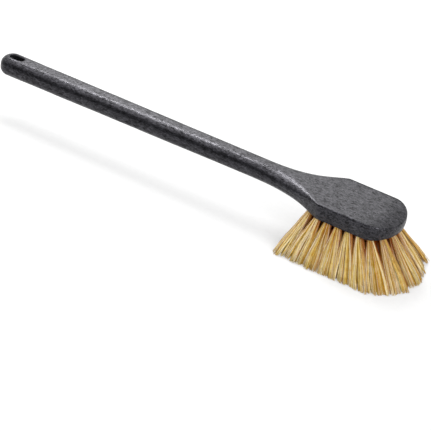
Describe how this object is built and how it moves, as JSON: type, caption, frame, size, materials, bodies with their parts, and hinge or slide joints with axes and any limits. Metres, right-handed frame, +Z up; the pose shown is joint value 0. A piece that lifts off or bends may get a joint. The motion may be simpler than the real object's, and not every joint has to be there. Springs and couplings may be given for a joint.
{
  "type": "cleaning brush",
  "caption": "Long-handled cleaning brush: a straight charcoal foam-plastic handle with a hanging slot runs into a wide round-nosed head that holds splayed tan fibre bristles, trimmed level.",
  "frame": {"origin": "middle of the bounding box at its lowest level, which is the plane of the trimmed bristle tips", "axes": "+X from the handle's end towards the nose of the head, +Y to the far side of the head, +Z up, out of the flat back of the head; the bristles point down"},
  "size_m": [0.54, 0.1124, 0.0662],
  "materials": {
    "structural_foam": "moulded structural foam, charcoal with a fine lighter swirl",
    "tampico_fibre": "stiff natural plant fibre, straw to amber",
    "staple_wire": "drawn wire, bright"
  },
  "bodies": {
    "root": {"handle_block": "structural_foam", "heel_staple_far": "staple_wire", "heel_staple_near": "staple_wire", "heel_tuft_far": "tampico_fibre", "heel_tuft_near": "tampico_fibre", "inner_staple_far_1": "staple_wire", "inner_staple_far_2": "staple_wire", "inner_staple_far_3": "staple_wire", "inner_staple_far_4": "staple_wire", "inner_staple_far_5": "staple_wire", "inner_staple_near_1": "staple_wire", "inner_staple_near_2": "staple_wire", "inner_staple_near_3": "staple_wire", "inner_staple_near_4": "staple_wire", "inner_staple_near_5": "staple_wire", "inner_tuft_far_1": "tampico_fibre", "inner_tuft_far_2": "tampico_fibre", "inner_tuft_far_3": "tampico_fibre", "inner_tuft_far_4": "tampico_fibre", "inner_tuft_far_5": "tampico_fibre", "inner_tuft_near_1": "tampico_fibre", "inner_tuft_near_2": "tampico_fibre", "inner_tuft_near_3": "tampico_fibre", "inner_tuft_near_4": "tampico_fibre", "inner_tuft_near_5": "tampico_fibre", "nose_staple_far_1": "staple_wire", "nose_staple_far_2": "staple_wire", "nose_staple_middle": "staple_wire", "nose_staple_near_1": "staple_wire", "nose_staple_near_2": "staple_wire", "nose_tuft_far_1": "tampico_fibre", "nose_tuft_far_2": "tampico_fibre", "nose_tuft_middle": "tampico_fibre", "nose_tuft_near_1": "tampico_fibre", "nose_tuft_near_2": "tampico_fibre", "side_staple_far_1": "staple_wire", "side_staple_far_2": "staple_wire", "side_staple_far_3": "staple_wire", "side_staple_far_4": "staple_wire", "side_staple_far_5": "staple_wire", "side_staple_far_6": "staple_wire", "side_staple_near_1": "staple_wire", "side_staple_near_2": "staple_wire", "side_staple_near_3": "staple_wire", "side_staple_near_4": "staple_wire", "side_staple_near_5": "staple_wire", "side_staple_near_6": "staple_wire", "side_tuft_far_1": "tampico_fibre", "side_tuft_far_2": "tampico_fibre", "side_tuft_far_3": "tampico_fibre", "side_tuft_far_4": "tampico_fibre", "side_tuft_far_5": "tampico_fibre", "side_tuft_far_6": "tampico_fibre", "side_tuft_near_1": "tampico_fibre", "side_tuft_near_2": "tampico_fibre", "side_tuft_near_3": "tampico_fibre", "side_tuft_near_4": "tampico_fibre", "side_tuft_near_5": "tampico_fibre", "side_tuft_near_6": "tampico_fibre"}
  },
  "joints": []
}
